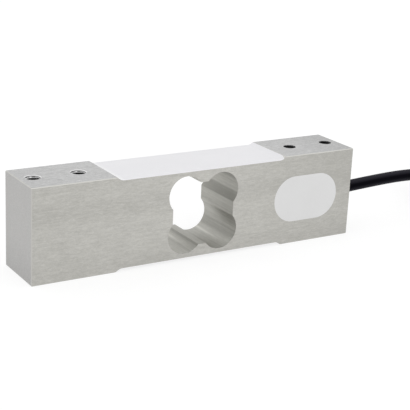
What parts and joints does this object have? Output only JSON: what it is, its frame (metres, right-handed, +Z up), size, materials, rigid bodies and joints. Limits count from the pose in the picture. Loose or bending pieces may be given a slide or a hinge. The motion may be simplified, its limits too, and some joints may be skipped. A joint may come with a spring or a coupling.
{
  "type": "single point load cell",
  "caption": "Aluminium bending-beam load cell with a four-lobed flexure opening, white potted gauge recesses, a filled wiring pocket, tapped end pads and a black cable.",
  "frame": {"origin": "middle of the beam's underside, at the height of the two lower end pads", "axes": "+X along the beam towards the fixed end where the cable leaves, -Y out of the face with the wiring pocket, +Z up out of the top pads"},
  "size_m": [0.3222, 0.0378, 0.039],
  "materials": {
    "aluminium": "fine brushed",
    "white_rubber": "smooth satin",
    "white_potting": "smooth satin",
    "black_jacket": "satin",
    "black_seal": "matte",
    "black_sleeve": "satin",
    "gauge_film": "translucent amber, satin",
    "gauge_foil": "etched foil",
    "strip_laminate": "matte",
    "wire_enamel": "clear enamel on copper",
    "adhesive": "matte foam",
    "board": "satin lacquer",
    "copper": "bare copper",
    "resistor": "matte",
    "solder": "bright solder",
    "red_insulation": "satin",
    "black_insulation": "satin",
    "green_insulation": "satin",
    "white_insulation": "satin",
    "tinned_copper": "tinned strands",
    "tie": "satin"
  },
  "bodies": {
    "root": {"beam_body": "aluminium", "top_gauge_cover": "white_rubber", "bottom_gauge_cover": "white_rubber", "pocket_potting": "white_potting", "gauge_film_top_load": "gauge_film", "gauge_grid_top_load": "gauge_foil", "gauge_film_top_fixed": "gauge_film", "gauge_grid_top_fixed": "gauge_foil", "terminal_strip_top": "strip_laminate", "gauge_jumpers_top": "wire_enamel", "gauge_leads_top": "wire_enamel", "gauge_film_bottom_load": "gauge_film", "gauge_grid_bottom_load": "gauge_foil", "gauge_film_bottom_fixed": "gauge_film", "gauge_grid_bottom_fixed": "gauge_foil", "terminal_strip_bottom": "strip_laminate", "gauge_jumpers_bottom": "wire_enamel", "gauge_leads_bottom": "wire_enamel", "board_adhesive": "adhesive", "bridge_board": "board", "board_pads": "copper", "trim_resistors": "resistor", "solder_joints": "solder", "cable_entry": "black_jacket", "shield_braid": "tinned_copper", "cable_seal": "black_seal", "shrink_sleeve": "black_sleeve", "core_red": "red_insulation", "core_black": "black_insulation", "core_green": "green_insulation", "core_white": "white_insulation", "cable_free": "black_jacket", "cable_hank": "black_jacket", "hank_ties": "tie", "lead_red": "red_insulation", "lead_black": "black_insulation", "lead_green": "green_insulation", "lead_white": "white_insulation", "lead_shield": "tinned_copper", "lead_tips": "solder"}
  },
  "joints": []
}
